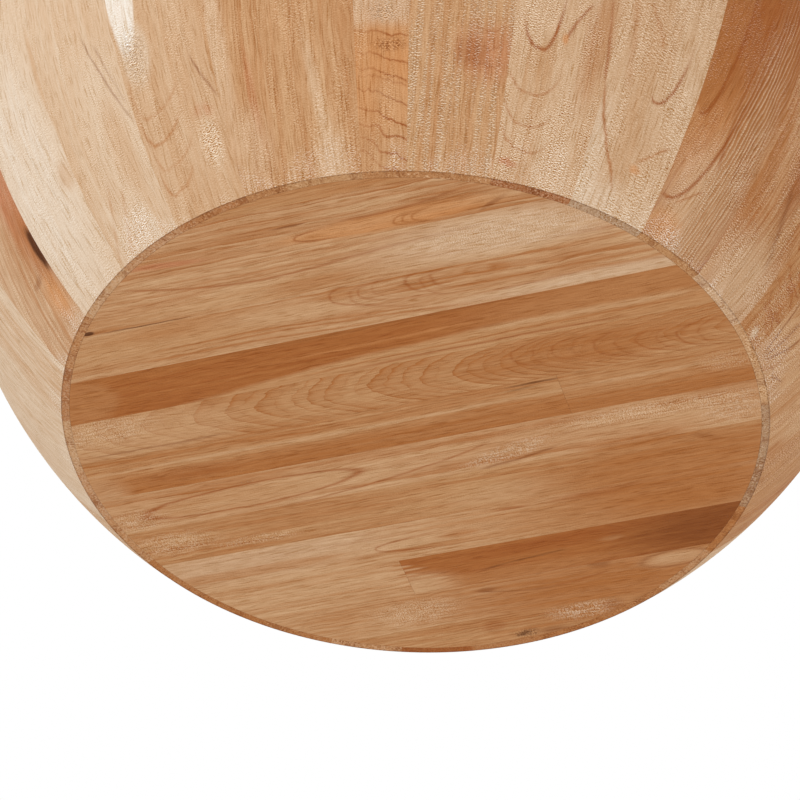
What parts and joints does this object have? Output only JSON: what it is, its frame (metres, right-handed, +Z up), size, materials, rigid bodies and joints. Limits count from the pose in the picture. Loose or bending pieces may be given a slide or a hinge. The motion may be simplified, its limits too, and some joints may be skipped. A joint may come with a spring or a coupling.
{
  "type": "barrel storage coffee table",
  "caption": "Round bulging barrel of glued wooden staves on a flush board base, hollow for storage, closed by a flat lift-off board lid that serves as the table top.",
  "frame": {"origin": "on the floor, at the middle of the base", "axes": "+Z up along the barrel's axis, +X along the base and lid boards"},
  "size_m": [0.7697, 0.7695, 0.455],
  "materials": {
    "pale_wood": "unfinished pale sapwood, brushed, matt",
    "tan_wood": "unfinished tan wood, brushed, matt",
    "honey_wood": "unfinished honey-coloured wood, brushed, matt",
    "brown_wood": "unfinished orange-brown heartwood, brushed, matt"
  },
  "bodies": {
    "barrel": {"stave_01": "honey_wood", "stave_02": "pale_wood", "stave_03": "pale_wood", "stave_04": "pale_wood", "stave_05": "pale_wood", "stave_06": "tan_wood", "stave_07": "tan_wood", "stave_08": "honey_wood", "stave_09": "tan_wood", "stave_10": "tan_wood", "stave_11": "brown_wood", "stave_12": "brown_wood", "stave_13": "honey_wood", "stave_14": "tan_wood", "stave_15": "brown_wood", "stave_16": "tan_wood", "stave_17": "honey_wood", "stave_18": "pale_wood", "stave_19": "tan_wood", "stave_20": "honey_wood", "stave_21": "tan_wood", "stave_22": "brown_wood", "stave_23": "pale_wood", "stave_24": "tan_wood", "stave_25": "honey_wood", "stave_26": "tan_wood", "stave_27": "pale_wood", "stave_28": "tan_wood", "stave_29": "pale_wood", "stave_30": "pale_wood", "base_board_01": "tan_wood", "base_board_02": "pale_wood", "base_board_03": "pale_wood", "base_board_04": "tan_wood", "base_board_05": "brown_wood", "base_board_06": "honey_wood", "base_board_07_left": "honey_wood", "base_board_07_right": "tan_wood", "base_board_08": "pale_wood", "base_board_09": "tan_wood", "base_board_10": "tan_wood", "base_board_11_left": "tan_wood", "base_board_11_right": "brown_wood", "base_board_12": "tan_wood", "base_board_13": "tan_wood"},
    "lid": {"lid_board_01": "tan_wood", "lid_board_02": "honey_wood", "lid_board_03": "pale_wood", "lid_board_04": "tan_wood", "lid_board_05": "brown_wood", "lid_board_06": "tan_wood", "lid_board_07": "pale_wood", "lid_board_08": "tan_wood", "lid_board_09": "honey_wood", "lid_cleat_left": "tan_wood", "lid_cleat_right": "tan_wood"}
  },
  "joints": [
    {"name": "lid_lift", "type": "slide", "parent": "barrel", "child": "lid", "axis": [0, 0, 1], "range_m": [0, 0.25]}
  ]
}
